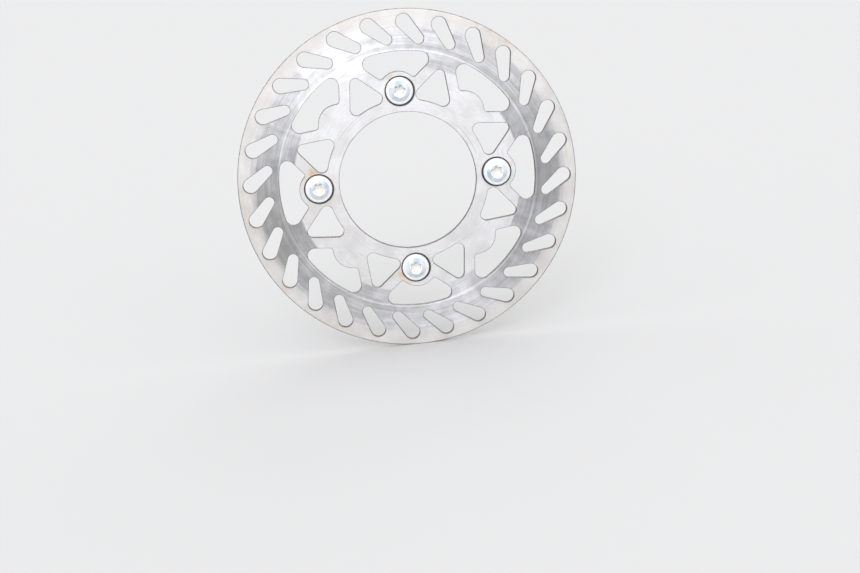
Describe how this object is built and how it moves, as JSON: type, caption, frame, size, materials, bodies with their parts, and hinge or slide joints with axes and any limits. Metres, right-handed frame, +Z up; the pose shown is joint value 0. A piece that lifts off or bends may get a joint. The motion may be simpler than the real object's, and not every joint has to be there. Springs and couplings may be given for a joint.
{
  "type": "brake disc rotor",
  "caption": "Fixed one-piece motorcycle brake disc with a slotted braking band and a windowed carrier, held to its wheel hub by domed bolts.",
  "frame": {"origin": "middle of the bolt circle, on the back face that rests on the wheel hub", "axes": "+Y along the wheel's axle into the hub, +Z up, the bolt heads face -Y; bolts at the top, right, bottom and left"},
  "size_m": [0.19, 0.0231, 0.19],
  "materials": {
    "disc_steel": "ground stainless steel, its braking band swept darker by the pads, with light rust stains round the bolts",
    "bolt_zinc": "bright zinc plating with a pale blue passivation tint"
  },
  "bodies": {
    "root": {"brake_disc": "disc_steel", "bolt_top": "bolt_zinc", "bolt_right": "bolt_zinc", "bolt_bottom": "bolt_zinc", "bolt_left": "bolt_zinc"}
  },
  "joints": []
}
